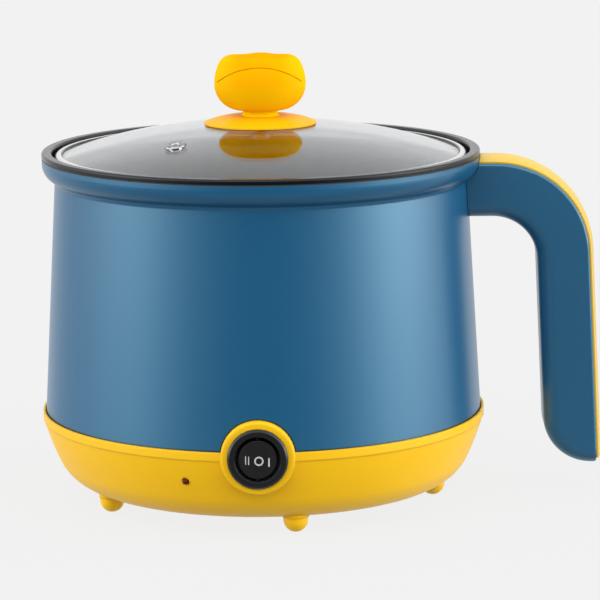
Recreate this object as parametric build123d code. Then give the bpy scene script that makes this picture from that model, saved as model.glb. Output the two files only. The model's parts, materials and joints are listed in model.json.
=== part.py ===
from build123d import *
import os
from math import asin, cos, degrees, radians, sin, sqrt, tan

# Electric cooking pot with a lift-off glass lid, a side handle and a three-position switch.
# Millimetres, +Z up. The origin is on the pot's axis, on the surface that the feet stand on.
# The handle points along +X and the switch faces -Y. A bearing is an angle in degrees, seen
# from above, from the switch (0) round towards the handle (90).

# Clearances
push_gap = 0.15
thread_gap = 0.05
lid_gap = 0.3

# Feet
foot_count = 5
foot_offset = 2.3
foot_first_bearing = 11.6
foot_height = 6.5
foot_radius = 5.4
foot_pad_radius = 2.0
foot_collar = 1.4
foot_stem_radius = 2.0
foot_head_radius = 3.2
foot_head_height = 1.4
foot_seat_margin = 0.5

# Base cover
base_undercut = 25.2
base_corner_radius = 20.0
base_corner_sweep = 65.0
base_wall = 2.4
seam_height = 40.0
band_height = 4.2
band_step = 0.4
band_chamfer = 0.4
band_wall = 1.05

# Outer shell
shell_wall = 1.8
shell_taper = 6.1
collar_gap = 1.1
collar_flare = 5.5
collar_lip_height = 2.0
collar_round_height = 7.3
collar_bend_height = 2.1
collar_bend_out = 1.2

# Inner pot
pot_radius = 87.0
pot_depth = 99.0
pot_draft = 1.4
pot_wall = 1.5
pot_floor = 2.5
pot_corner_radius = 16.0
flare_depth = 13.0
flare_width = 2.5
ledge_width = 4.0
ledge_depth = 7.6
rim_height = 2.2
rim_round = 1.0
rim_overhang = 0.1
gasket_height = 0.6
gasket_width = 1.8

# Lid
lid_side_gap = 1.1
glass_radius = 291.5
glass_thickness = 4.0
ring_wall = 0.7
ring_cover = 3.0
ring_crown = 1.2
ring_gap = 0.1
vent_inset = 36.9
vent_bearing = -40.4
vent_flange_radius = 4.9
vent_flange_height = 1.1
vent_tube_radius = 3.0
vent_bore_radius = 1.9
vent_petals = 6
vent_petal_slot = 0.7

# Knob
knob_half_width = 20.4
knob_depth_ratio = 0.82
knob_grip_radius = 11.7
knob_neck_height = 2.4
knob_shoulder_inset = 2.1
knob_shoulder_rise = 9.4
knob_crown = 3.4
knob_neck_radius = 7.7
knob_neck_flare = 1.2
knob_dip_radius = 26.0
knob_dip_depth = 0.7
knob_dip_offset = 7.6
crease_depth = 0.4
crease_width = 0.4
crease_end_inset = 1.8
crease_end_rise = 1.4
crease_top_rise = 8.4
skirt_radius = 25.0
skirt_edge = 0.7
skirt_top_height = 2.7
skirt_shoulder = 3.0

# Knob fastening under the glass
knob_screw_radius = 2.5
knob_screw_reach = 14.0
knob_screw_tip_gap = 1.0
knob_screw_head_radius = 4.6
knob_screw_head_height = 2.6
knob_washer_radius = 8.0
knob_washer_height = 1.0
knob_gasket_radius = 9.5
knob_gasket_height = 1.5
knob_hole_margin = 0.6

# Handle
handle_width = 28.0
handle_wall = 2.6
handle_rim_gap = 1.1
handle_root_height = 24.3
handle_end = 14.3
handle_lean = 2.4
handle_reach = 52.5
handle_thickness = 23.2
handle_outer_bend = 41.5
handle_inner_bend = 20.0
handle_end_flat = 1.8
handle_edge_round = 6.5
handle_root_wall = 4.0
cover_shoulder = 1.2
cover_edge = 0.8
cover_crown = 1.8
cover_tongue = 1.4
handle_bracket_thickness = 2.5
handle_bracket_margin = 1.0
handle_screw_radius = 2.0
handle_screw_head_radius = 3.4
handle_screw_head_height = 1.2
handle_screw_rise = 7.0
handle_screw_pitch = 7.8
handle_screw_tip = 1.0

# Heater stack under the pot
heater_margin = 1.6
heater_thickness = 6.0
element_inset = 20.0
element_radius = 3.6
element_gap_angle = 40.0
element_drop = 6.0
element_sink = 0.6
element_pin_radius = 1.5
element_pin_length = 7.0
post_count = 3
post_gap = 1.4
post_first_bearing = 30.0
post_radius = 5.0
post_length = 8.9
tower_radius = 6.0
shield_overhang = 4.0
shield_thickness = 0.6
shield_window_radius = 30.0
shield_pin_hole_radius = 5.0
shield_rim = 4.0
base_screw_radius = 2.0
base_screw_head_radius = 3.6
base_screw_head_height = 2.4
base_screw_length = 24.6
base_screw_bite = 8.0

# Thermostat and thermal fuse
thermostat_cap_radius = 8.0
thermostat_cap_height = 3.0
thermostat_body_radius = 7.2
thermostat_body_height = 9.0
thermostat_blade = (0.8, 4.8, 6.5)
thermostat_blade_pitch = 8.0
bracket_thickness = 0.8
bracket_half_length = 16.0
bracket_half_width = 10.0
bracket_screw_pitch = 24.0
small_screw_radius = 1.5
small_screw_head_radius = 2.7
small_screw_head_height = 1.6
small_screw_bite = 4.0
fuse_offset = 18.0
fuse_radius = 2.2
fuse_length = 14.0
fuse_lead_radius = 0.6
fuse_lead_length = 6.0
clip_width = 8.0
clip_wall = 0.6
clip_tab = 7.0

# Switch
switch_drop = 2.1
boss_proud = 1.3
boss_margin = 2.95
boss_depth = 12.0
boss_wall = 2.2
boss_panel = 3.0
boss_round = 0.9
bezel_lip = 2.0
bezel_height = 2.0
bezel_slope = 0.9
barrel_wall = 1.5
barrel_floor = 2.0
cavity_step = 0.8
cavity_room = 5.0
rocker_radius = 8.2
rocker_gap = 1.3
rocker_sweep_radius = 24.0
rocker_proud = 1.7
rocker_thickness = 4.8
rocker_pivot_depth = 2.6
trunnion_radius = 1.2
trunnion_bite = 1.0
stem_radius = 2.6
stem_length = 3.6
plunger_radius = 1.6
plunger_sink = 2.0
plunger_gap = 0.4
lever_end = 1.0
lever_height = 3.6
lever_thickness = 0.5
lever_pivot_gap = 0.1
fulcrum_radius = 0.45
button_radius = 1.0
button_height = 0.5
contact_gap = 0.8
blade_thickness = 0.8
blade_height = 4.8
blade_length = 8.5
blade_inset = 2.5
clip_ear = 1.0
clip_ear_width = 6.0
diode_radius = 2.6
diode_length = 9.0
diode_drop = 9.0
diode_lead_radius = 0.5
diode_bend = 0.8

# Indicator lamp
lamp_bearing = -19.0
lamp_drop = 9.9
lens_radius = 1.45
lens_flange_radius = 3.0
lens_flange_height = 1.2
lamp_boss_wall = 1.4
lamp_boss_depth = 7.0
lamp_radius = 2.7
lamp_length = 9.0

# Power inlet
inlet_top_gap = 1.45
inlet_set_back = 1.2
inlet_panel = 3.0
inlet_width = 27.0
inlet_tall = 19.4
inlet_corner = 4.0
inlet_depth = 20.0
inlet_wall = 1.5
inlet_recess = 15.0
inlet_ear = 2.0
inlet_boss_wall = 2.0
inlet_boss_round = 3.0
inlet_face_round = 0.8
pin_width = 2.0
pin_tall = 4.0
pin_length = 12.5
pin_pitch = 14.0
pin_drop = 2.0
pin_tail = 6.0

# Wires: straight runs at the terminals, layers, and points on the way as offsets in x and y
wire_radius = 1.2
lamp_wire_radius = 0.8
wire_bend = 4.0
wire_bend_share = 0.9
inlet_run = 14.0
earth_run = 30.0
switch_run = 12.0
thermostat_run = 8.0
fuse_run = 6.0
fuse_drop = 15.0
pin_run = 6.0
lamp_run = 8.0
lamp_pin_run = 9.0
lamp_pin_rise = 8.0
low_layer_rise = 6.0
middle_layer_rise = 14.0
high_layer_drop = 9.0
lamp_layer_rise = 2.0
live_by_rear_tower = (-7.0, -32.0)
live_by_front_tower = (-7.0, 14.0)
live_by_switch_drop = 16.0
high_heat_by_front_tower = (-16.0, 2.0)
high_heat_by_rear_tower = (2.0, -58.0)
high_heat_by_pin = (3.0, -14.0)
neutral_by_pot_axis = (-13.0, 25.0)
neutral_by_thermostat = (-3.0, 8.0)
thermostat_by_pot_axis = (14.0, -8.0)
fuse_by_pot_axis = (-25.0, 10.0)
fuse_by_pin = (-2.0, -12.0)
earth_by_pot_axis = (0.0, 21.0)
lamp_by_side_tower = ((24.0, -48.0), (18.0, 22.0))
lamp_by_pot_axis = ((-9.0, -50.0), (3.0, -10.0), (3.5, 32.0))

# Radii that follow from the sizes above, from the pot outwards
pot_foot_radius = pot_radius - pot_draft
ledge_inner_radius = pot_radius + flare_width
mouth_radius = ledge_inner_radius + ledge_width
lid_radius = mouth_radius - lid_side_gap
collar_radius = mouth_radius + pot_wall + collar_gap + shell_wall
rim_radius = collar_radius + rim_overhang
neck_radius = collar_radius - collar_flare
collar_bend_radius = neck_radius + collar_bend_out
shell_foot_radius = neck_radius + shell_taper
band_radius = shell_foot_radius + push_gap + band_wall
base_flat_radius = band_radius - base_undercut
foot_ring_radius = base_flat_radius + foot_offset
heater_radius = pot_foot_radius - pot_corner_radius - heater_margin
element_circle_radius = heater_radius - element_inset
post_circle_radius = element_circle_radius + element_radius + post_gap + post_radius
shield_radius = heater_radius + shield_overhang
vent_circle_radius = lid_radius - vent_inset
handle_root = collar_radius + handle_root_wall
handle_end_reach = collar_radius + handle_reach
handle_end_bend = handle_thickness - handle_end_flat

# Heights that follow, from the surface upwards
base_inside = foot_height + base_wall
shell_foot = seam_height - band_height
tower_top = seam_height
post_bottom = tower_top + shield_thickness
heater_bottom = post_bottom + post_length
heater_top = heater_bottom + heater_thickness
pot_floor_height = heater_top + pot_floor
rim_top = pot_floor_height + pot_depth
rim_under = rim_top - rim_height
ledge_height = rim_top - ledge_depth
collar_top = rim_under - gasket_height
collar_round_end = collar_top - collar_lip_height
collar_bend_level = collar_round_end - collar_round_height
neck_height = collar_bend_level - collar_bend_height
base_screw_seat = post_bottom + base_screw_bite - base_screw_length
handle_top = rim_under - handle_rim_gap - cover_crown - cover_edge
handle_under = handle_top - handle_root_height
lamp_height = shell_foot - lamp_drop
inlet_height = shell_foot - inlet_top_gap - inlet_boss_wall - push_gap - inlet_tall / 2
inlet_reach = band_radius - inlet_set_back

# Lid heights: the ring's lowest corner rests just above the ledge
edge_slope = asin(lid_radius / glass_radius)
ring_reach = ring_wall + ring_gap
glass_edge_radius = lid_radius - ring_reach * (cos(edge_slope) + sin(edge_slope))
ring_drop = ring_reach * sin(edge_slope) + (glass_thickness + ring_reach) * cos(edge_slope)
glass_edge_height = ledge_height + lid_gap + ring_drop
glass_centre = glass_edge_height - sqrt(glass_radius ** 2 - glass_edge_radius ** 2)
glass_top = glass_centre + glass_radius
skirt_top = glass_top + skirt_top_height
knob_waist = skirt_top + knob_neck_height + knob_grip_radius
knob_shoulder = knob_waist + knob_shoulder_rise
knob_top = knob_shoulder + knob_crown
knob_shoulder_radius = knob_half_width - knob_shoulder_inset

# Switch radii, height, and distances from the pot's axis towards the front
recess_radius = rocker_radius + rocker_gap
cavity_radius = recess_radius - cavity_step
barrel_radius = recess_radius + barrel_wall
bezel_radius = barrel_radius + bezel_lip
boss_radius = bezel_radius + boss_margin
blade_pitch = cavity_radius - blade_inset
lever_half_length = blade_pitch + lever_end
switch_height = seam_height - switch_drop
boss_reach = band_radius + boss_proud
panel_back = boss_reach - boss_panel
pivot_reach = boss_reach - rocker_pivot_depth
rocker_face = boss_reach + rocker_proud
rocker_back = rocker_face - rocker_thickness
plunger_tip = rocker_back - stem_length - plunger_gap
lever_front = plunger_tip - plunger_gap
lever_back = lever_front - lever_thickness
cavity_end = lever_back - cavity_room
barrel_end = cavity_end - barrel_floor
blade_end = barrel_end - blade_length

BOTTOM = (Align.CENTER, Align.CENTER, Align.MIN)


def polar(radius, bearing, height=0.0):
    """The point at a radius and bearing round the pot's axis."""
    angle = radians(bearing)
    return Vector(radius * sin(angle), -radius * cos(angle), height)


def bearings(count, first):
    """Evenly spaced bearings."""
    return [first + 360.0 * index / count for index in range(count)]


def rod(start, end, radius):
    """A round bar between two points."""
    along = Vector(end) - Vector(start)
    return Plane(origin=start, z_dir=along) * Cylinder(radius, along.length, align=BOTTOM)


def front_rod(near, far, radius, x=0.0, z=switch_height):
    """A round bar square to the switch panel, between two distances from the pot's axis."""
    return rod((x, -near, z), (x, -far, z), radius)


def block(x_limits, y_limits, z_limits):
    """A box between limits along each axis."""
    limits = (x_limits, y_limits, z_limits)
    middle = [(low + high) / 2 for low, high in limits]
    size = [high - low for low, high in limits]
    return Pos(*middle) * Box(*size)


def turned(*lines):
    """A solid turned about the pot's axis from an outline of radius and height."""
    outline = Curve() + list(lines)
    return revolve(Plane.XZ * make_face(outline.edges()), Axis.Z)


def radius_at(line, height):
    """The radius at which a rising outline passes a height."""
    low, high = 0.0, 1.0
    for _ in range(40):
        middle = (low + high) / 2
        if (line @ middle).Y < height:
            low = middle
        else:
            high = middle
    return (line @ low).X


def glass_height(radius, depth=0.0):
    """Height of the glass at a radius, at a depth below its upper face."""
    return glass_centre + sqrt((glass_radius - depth) ** 2 - radius ** 2)


def group(pieces):
    """Separate solids kept in one node."""
    return Compound([piece.solid() for piece in pieces])


def pan_screw(seat, tip, shank, head, head_height):
    """A pan-head screw with its head's underside at seat, driven towards tip."""
    along = (Vector(tip) - Vector(seat)).normalized()
    return rod(seat, tip, shank) + rod(Vector(seat) - along * head_height, seat, head)


def wire(points, radius):
    """A lead along straight runs joined by bends, tighter where a run is short."""
    runs = [end - start for start, end in zip(points, points[1:])]
    room = [run.length * wire_bend_share / 2 for run in runs]
    room[0] *= 2
    room[-1] *= 2
    bends = []
    for index in range(len(runs) - 1):
        half_turn = radians(runs[index].get_angle(runs[index + 1])) / 2
        bends.append(min(wire_bend, min(room[index:index + 2]) / tan(half_turn)))
    path = FilletPolyline(*points, radius=bends)
    section = Plane(origin=path @ 0, z_dir=path % 0) * Circle(radius)
    return sweep(section, path=path)


# Base

def bowl_lines(inset):
    """The bowl's outline from its axis up to the band, moved in by inset."""
    centre = (base_flat_radius, foot_height + base_corner_radius)
    corner = CenterArc(centre, base_corner_radius - inset, -90, base_corner_sweep)
    floor = Line((0, foot_height + inset), corner @ 0)
    wall = TangentArc(corner @ 1, (band_radius - band_step - inset, shell_foot), tangent=corner % 1)
    return floor, corner, wall


def make_base():
    floor, corner, wall = bowl_lines(0)
    inner_floor, inner_corner, inner_wall = bowl_lines(base_wall)
    band_inside = band_radius - band_wall
    band = Polyline(
        wall @ 1,
        (band_radius, shell_foot + band_chamfer),
        (band_radius, seam_height),
        (band_inside, seam_height),
        (band_inside, shell_foot),
        inner_wall @ 1,
    )
    axis = Line(inner_floor @ 0, floor @ 0)
    base = turned(floor, corner, wall, band, inner_wall, inner_corner, inner_floor, axis)

    # Screw towers up to the heat shield
    for bearing in bearings(post_count, post_first_bearing):
        low = polar(post_circle_radius, bearing, foot_height)
        seat = polar(post_circle_radius, bearing, base_screw_seat)
        high = polar(post_circle_radius, bearing, tower_top)
        base += rod(low, high, tower_radius)
        base -= rod(low, seat, base_screw_head_radius + push_gap)
        base -= rod(seat, high, base_screw_radius + push_gap)

    # Flat seats for the feet
    for bearing in bearings(foot_count, foot_first_bearing):
        low = polar(foot_ring_radius, bearing, foot_height)
        high = polar(foot_ring_radius, bearing, base_inside)
        clear = polar(foot_ring_radius, bearing, base_inside + foot_head_height + base_wall)
        base += rod(low, high, foot_radius + foot_seat_margin)
        base -= rod(high, clear, foot_head_radius + foot_seat_margin)
        base -= rod(low, high, foot_stem_radius + thread_gap)

    # Switch boss
    boss = front_rod(boss_reach - boss_depth, boss_reach, boss_radius)
    front_edge = boss.edges().filter_by(GeomType.CIRCLE).sort_by(Axis.Y)[0]
    base += fillet(front_edge, boss_round)
    base -= front_rod(boss_reach - 2 * boss_depth, panel_back, boss_radius - boss_wall)
    base -= front_rod(panel_back, boss_reach, barrel_radius + push_gap)

    # Lamp holder
    outside, seat, inside = lamp_points(wall)
    lamp_bore = lens_flange_radius + push_gap
    base += rod(seat, inside, lamp_bore + lamp_boss_wall)
    base -= rod(seat, inside, lamp_bore)
    base -= rod(seat, outside, lens_radius + push_gap)

    # Inlet boss
    half_width = inlet_width / 2 + inlet_ear + push_gap
    half_tall = inlet_tall / 2 + push_gap
    outer_half = half_width + inlet_boss_wall
    outer_tall = half_tall + inlet_boss_wall
    panel_inside = inlet_reach - inlet_panel
    inside = inlet_reach - inlet_depth
    heights = (inlet_height - outer_tall, inlet_height + outer_tall)
    pocket_heights = (inlet_height - half_tall, inlet_height + half_tall)
    inlet_boss = block((-outer_half, outer_half), (inside, inlet_reach), heights)
    inlet_boss = fillet(inlet_boss.edges().filter_by(Axis.Y), inlet_boss_round)
    inlet_boss = fillet(inlet_boss.faces().sort_by(Axis.Y)[-1].edges(), inlet_face_round)
    base += inlet_boss
    base -= block((-half_width, half_width), (inside - inlet_depth, panel_inside), pocket_heights)
    base -= inlet_plug(push_gap, panel_inside, inlet_reach)
    return base


def make_foot(bearing):
    side = Line((foot_radius, foot_height), (foot_radius, foot_height - foot_collar))
    dome = TangentArc(side @ 1, (foot_pad_radius, 0), tangent=(0, -1))
    inside = base_inside + foot_head_height
    rest = Polyline(
        (foot_pad_radius, 0),
        (0, 0),
        (0, inside),
        (foot_head_radius, inside),
        (foot_head_radius, base_inside),
        (foot_stem_radius, base_inside),
        (foot_stem_radius, foot_height),
        (foot_radius, foot_height),
    )
    return Pos(*polar(foot_ring_radius, bearing)) * turned(side, dome, rest)


def make_base_screws():
    screws = []
    for bearing in bearings(post_count, post_first_bearing):
        seat = polar(post_circle_radius, bearing, base_screw_seat)
        tip = polar(post_circle_radius, bearing, post_bottom + base_screw_bite)
        screws.append(
            pan_screw(seat, tip, base_screw_radius, base_screw_head_radius, base_screw_head_height)
        )
    return group(screws)


# Outer shell

def shell_lines(inset):
    """The shell's outline from its foot up to the collar's top, moved in by inset."""
    wall = Line((shell_foot_radius - inset, shell_foot), (neck_radius - inset, neck_height))
    bend = (collar_bend_radius - inset, collar_bend_level)
    flare = TangentArc(wall @ 1, bend, tangent=wall % 1)
    round_end = (collar_radius - inset, collar_round_end)
    collar = TangentArc(bend, round_end, tangent=flare % 1)
    lip = Line(round_end, (collar_radius - inset, collar_top))
    return wall, flare, collar, lip


def shell_envelope(outset):
    """The space inside the shell's outer face, moved out by outset."""
    lines = shell_lines(-outset)
    cap = Polyline(lines[-1] @ 1, (0, collar_top), (0, shell_foot), lines[0] @ 0)
    return turned(*lines, cap)


def make_shell():
    outer = shell_lines(0)
    inner = shell_lines(shell_wall)
    top = Line(outer[-1] @ 1, inner[-1] @ 1)
    foot = Line(inner[0] @ 0, outer[0] @ 0)
    shell = turned(*outer, top, *inner, foot)
    shell -= front_rod(boss_reach - 2 * boss_depth, boss_reach, boss_radius + push_gap)
    for height in handle_screw_heights():
        shell -= rod((0, 0, height), (rim_radius, 0, height), handle_screw_radius + push_gap)
    return shell


# Inner pot

def make_pot():
    corner_centre = (pot_foot_radius - pot_corner_radius, pot_floor_height + pot_corner_radius)
    corner = CenterArc(corner_centre, pot_corner_radius, -90, 90)
    outer_corner_radius = pot_corner_radius + pot_wall
    outer_centre = (pot_foot_radius - pot_corner_radius, heater_top + outer_corner_radius)
    outer_corner = CenterArc(outer_centre, outer_corner_radius, -90, 90)
    neck = rim_top - flare_depth
    inside = Polyline(
        corner @ 1,
        (pot_radius, neck),
        (ledge_inner_radius, ledge_height),
        (mouth_radius, ledge_height),
        (mouth_radius, rim_top - rim_round),
    )
    inner_round = CenterArc((mouth_radius + rim_round, rim_top - rim_round), rim_round, 180, -90)
    rim_top_line = Line(inner_round @ 1, (rim_radius - rim_round, rim_top))
    outer_round = CenterArc((rim_radius - rim_round, rim_top - rim_round), rim_round, 90, -90)
    curl = Polyline(
        outer_round @ 1,
        (rim_radius, rim_under),
        (mouth_radius + pot_wall, rim_under),
        (mouth_radius + pot_wall, ledge_height),
        (mouth_radius, ledge_height - pot_wall),
        (ledge_inner_radius + pot_wall, ledge_height - pot_wall),
        (pot_radius + pot_wall, neck),
        outer_corner @ 1,
    )
    floor = Line((0, pot_floor_height), corner @ 0)
    outer_floor = Line(outer_corner @ 0, (0, heater_top))
    axis = Line((0, heater_top), (0, pot_floor_height))
    return turned(
        floor, corner, inside, inner_round, rim_top_line, outer_round, curl, outer_corner, outer_floor, axis
    )


def make_rim_gasket():
    outer = collar_radius
    inner = collar_radius - gasket_width
    return turned(
        Polyline(
            (inner, collar_top), (outer, collar_top), (outer, rim_under), (inner, rim_under), close=True
        )
    )


# Lid

def make_glass():
    edge = radians(90) - asin(glass_edge_radius / glass_radius)
    centre = (0, glass_centre)
    upper = CenterArc(centre, glass_radius, degrees(edge), 90 - degrees(edge))
    lower = CenterArc(centre, glass_radius - glass_thickness, degrees(edge), 90 - degrees(edge))
    rim = Line(lower @ 0, upper @ 0)
    axis = Line(upper @ 1, lower @ 1)
    glass = turned(upper, axis, lower, rim)
    screw_hole = knob_screw_radius + knob_hole_margin
    glass -= rod((0, 0, glass_centre), (0, 0, skirt_top), screw_hole)
    glass -= vent_frame() * Cylinder(vent_tube_radius + push_gap, 4 * glass_thickness)
    return glass


def make_lid_ring():
    across = Vector(cos(edge_slope), -sin(edge_slope))
    up = Vector(sin(edge_slope), cos(edge_slope))
    edge = Vector(glass_edge_radius, glass_edge_height)
    inner_low = -glass_thickness - ring_gap
    corners = (
        (ring_reach, ring_gap),
        (ring_reach, inner_low - ring_wall),
        (-ring_cover, inner_low - ring_wall),
        (-ring_cover, inner_low),
        (ring_gap, inner_low),
        (ring_gap, ring_gap),
        (-ring_cover, ring_gap),
    )
    channel = [edge + across * along + up * rise for along, rise in corners]
    crest = edge + across * (ring_reach - ring_cover) / 2 + up * (ring_gap + ring_crown)
    return turned(Polyline(*channel), ThreePointArc(channel[-1], crest, channel[0]))


def vent_frame():
    """The plane on the glass where the steam vent sits, square to the glass."""
    place = polar(vent_circle_radius, vent_bearing, glass_height(vent_circle_radius))
    normal = place - Vector(0, 0, glass_centre)
    return Plane(origin=place, z_dir=normal)


def make_vent():
    under = -glass_thickness - push_gap
    dome = ThreePointArc(
        (vent_flange_radius, push_gap),
        ((vent_flange_radius + vent_bore_radius) / 2, push_gap + vent_flange_height),
        (vent_bore_radius, push_gap),
    )
    rest = Polyline(
        (vent_bore_radius, push_gap),
        (vent_bore_radius, under - vent_flange_height / 2),
        (vent_flange_radius, under - vent_flange_height / 2),
        (vent_flange_radius, under),
        (vent_tube_radius, under),
        (vent_tube_radius, push_gap),
        (vent_flange_radius, push_gap),
    )
    vent = turned(dome, rest)
    for bearing in bearings(vent_petals, 0):
        start = polar(vent_tube_radius + vent_petal_slot, bearing, vent_flange_height + push_gap)
        end = polar(2 * vent_flange_radius, bearing, vent_flange_height + push_gap)
        vent -= rod(start, end, vent_petal_slot)
    return vent_frame() * vent


def make_skirt():
    hole = knob_screw_radius + knob_hole_margin
    edge_height = glass_height(skirt_radius) + push_gap
    seat = ThreePointArc(
        (hole, glass_height(hole) + push_gap),
        (skirt_radius / 2, glass_height(skirt_radius / 2) + push_gap),
        (skirt_radius, edge_height),
    )
    edge = Line(seat @ 1, (skirt_radius, edge_height + skirt_edge))
    shoulder_radius = knob_neck_radius + skirt_shoulder
    slope = TangentArc((shoulder_radius, skirt_top), edge @ 1, tangent=(1, 0))
    top = Polyline((shoulder_radius, skirt_top), (hole, skirt_top), seat @ 0)
    return turned(seat, edge, slope, top)


def knob_grip():
    """The rounded grip before its dips and crease, squeezed from front to back."""
    under_centre = (knob_half_width - knob_grip_radius, knob_waist)
    under = CenterArc(under_centre, knob_grip_radius, -90, 90)
    side = TangentArc(under @ 1, (knob_shoulder_radius, knob_shoulder), tangent=(0, 1))
    turn_half = (90 - degrees(asin((side % 1).Y))) / 2 + 45
    flat = knob_shoulder_radius - knob_crown * tan(radians(turn_half))
    round_top = TangentArc(side @ 1, (flat, knob_top), tangent=side % 1)
    rest = Polyline((flat, knob_top), (0, knob_top), (0, (under @ 0).Y), under @ 0)
    return scale(turned(under, side, round_top, rest), by=(1, knob_depth_ratio, 1))


def make_knob():
    grip = knob_grip()
    inner = scale(grip, by=1 - crease_depth / knob_half_width, about=(0, 0, knob_waist))
    crease_end = knob_half_width - crease_end_inset
    low = ThreePointArc(
        (-crease_end, knob_waist + crease_end_rise),
        (0, knob_waist + crease_top_rise),
        (crease_end, knob_waist + crease_end_rise),
    )
    high = Pos(0, crease_width) * low
    ends = [Line(low @ 0, high @ 0), Line(low @ 1, high @ 1)]
    band = make_face([low, ends[1], high, ends[0]])
    crease = extrude(Plane.XZ * band, knob_half_width) - inner
    knob = grip - crease
    for side in (-1, 1):
        middle = knob_top + knob_dip_radius - knob_dip_depth
        start = (side * knob_dip_offset, -knob_half_width, middle)
        end = (side * knob_dip_offset, knob_half_width, middle)
        knob -= rod(start, end, knob_dip_radius)
    neck_top = skirt_top + knob_neck_height
    neck_foot = knob_neck_radius + knob_neck_flare
    neck_side = ThreePointArc(
        (neck_foot, skirt_top), (knob_neck_radius, (skirt_top + neck_top) / 2), (neck_foot, neck_top)
    )
    neck_core = Polyline(
        (neck_foot, neck_top),
        (neck_foot, neck_top + knob_neck_flare),
        (0, neck_top + knob_neck_flare),
        (0, skirt_top),
        (neck_foot, skirt_top),
    )
    neck = turned(neck_side, neck_core)
    bore = rod((0, 0, skirt_top), (0, 0, skirt_top + knob_screw_reach), knob_screw_radius + thread_gap)
    return knob + neck - bore


def under_glass():
    """Heights of the gasket's top, the washer's top and the screw head's top."""
    gasket = glass_height(knob_gasket_radius, glass_thickness)
    washer = gasket - knob_gasket_height
    head = washer - knob_washer_height
    return gasket, washer, head


def ring(low, high, inner, outer):
    """A flat ring about the pot's axis."""
    return rod((0, 0, low), (0, 0, high), outer) - rod((0, 0, low), (0, 0, high), inner)


def make_knob_gasket():
    gasket, washer, _ = under_glass()
    return ring(washer, gasket, knob_screw_radius + push_gap, knob_gasket_radius)


def make_knob_washer():
    _, washer, head = under_glass()
    return ring(head, washer, knob_screw_radius + push_gap, knob_washer_radius)


def make_knob_screw():
    head = under_glass()[2]
    tip = (0, 0, skirt_top + knob_screw_reach - knob_screw_tip_gap)
    return pan_screw((0, 0, head), tip, knob_screw_radius, knob_screw_head_radius, knob_screw_head_height)


# Handle

def handle_corners(inset):
    """Corners of the handle's side outline, its inner edge and lower end moved in by inset."""
    lean = tan(radians(handle_lean))
    outer_top = handle_end_reach - (handle_top - handle_end) * lean
    inner_end = handle_end_reach - handle_thickness + inset
    under = handle_under + inset
    end = handle_end + inset
    inner_top = inner_end - (under - handle_end) * lean
    inner_low = inner_end - (end - handle_end) * lean
    return outer_top, (inner_top, under), (inner_low, end)


def handle_path():
    """The line along the handle's outer edge, from inside the shell to the lower end."""
    outer_top = handle_corners(0)[0]
    line = FilletPolyline(
        (0, handle_top), (outer_top, handle_top), (handle_end_reach, handle_end), radius=handle_outer_bend
    )
    return Plane.XZ * line


def handle_inside(inset, reach):
    """The handle's inner edge and lower end, from the pot's axis out to reach, moved in by inset."""
    _, inner_top, inner_low = handle_corners(inset)
    return FilletPolyline(
        (0, inner_top[1]),
        inner_top,
        inner_low,
        (reach, inner_low[1]),
        radius=(handle_inner_bend + inset, handle_end_bend - inset),
    )


def make_handle():
    half = handle_width / 2
    under = handle_inside(0, handle_end_reach)
    outer_top = handle_corners(0)[0]
    over = FilletPolyline(
        under @ 1, (outer_top, handle_top), (0, handle_top), radius=handle_outer_bend
    )
    close = Line(over @ 1, under @ 0)
    side = make_face(under.edges() + over.edges() + [close])
    handle = extrude(Plane.XZ * side, half, both=True)

    # Rounded edges, large on the finger side and small beside the cover
    path = handle_path()

    def side_edges(beside_cover):
        chosen = []
        for edge in handle.edges():
            middle = edge @ 0.5
            on_side = abs(abs(middle.Y) - half) < thread_gap and middle.X > thread_gap
            on_outer = path.distance_to(Vertex(middle.X, 0, middle.Z)) < thread_gap
            if on_side and on_outer == beside_cover:
                chosen.append(edge)
        return chosen

    handle = fillet(side_edges(False), handle_edge_round)
    handle = fillet(side_edges(True), cover_shoulder)

    # Channel under the cover
    beyond = handle_end_reach + handle_thickness
    above = handle_top + handle_thickness
    floor = handle_inside(handle_wall, beyond)
    mouth = Polyline(floor @ 1, (beyond, above), (0, above), floor @ 0)
    channel = extrude(Plane.XZ * make_face(floor.edges() + mouth.edges()), half - handle_wall, both=True)
    handle -= channel & block((handle_root, beyond), (-half, half), (0, above))

    handle -= shell_envelope(push_gap)
    for height in handle_screw_heights():
        handle -= rod((0, 0, height), (handle_root, 0, height), handle_screw_radius + push_gap)
    return handle


def handle_screw_heights():
    low = handle_under + handle_screw_rise
    return (low, low + handle_screw_pitch)


def make_cover():
    half = handle_width / 2 - cover_shoulder
    tongue = handle_width / 2 - handle_wall - push_gap
    crown = ThreePointArc((-half, cover_edge), (0, cover_edge + cover_crown), (half, cover_edge))
    sides = Polyline(
        (half, cover_edge),
        (half, 0),
        (tongue, 0),
        (tongue, -cover_tongue),
        (-tongue, -cover_tongue),
        (-tongue, 0),
        (-half, 0),
        (-half, cover_edge),
    )
    section = make_face(crown.edges() + sides.edges())
    path = handle_path()
    start = Plane(origin=path @ 0, x_dir=(0, 1, 0), z_dir=path % 0)
    cover = sweep(start * section, path=path)
    end = handle_end + handle_wall + push_gap
    cover -= block((0, 2 * handle_end_reach), (-half, half), (0, end))
    cover -= block((0, handle_root + push_gap), (-half, half), (0, handle_top))
    return cover - shell_envelope(push_gap)


def make_handle_bracket():
    half = handle_width / 2 - handle_wall - handle_bracket_margin
    low = handle_under + handle_wall + handle_bracket_margin
    high = handle_top - cover_tongue - handle_bracket_margin
    start = handle_root
    bracket = block((start, start + handle_bracket_thickness), (-half, half), (low, high))
    for height in handle_screw_heights():
        bracket -= rod((0, 0, height), (2 * start, 0, height), handle_screw_radius + thread_gap)
    return bracket


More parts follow.
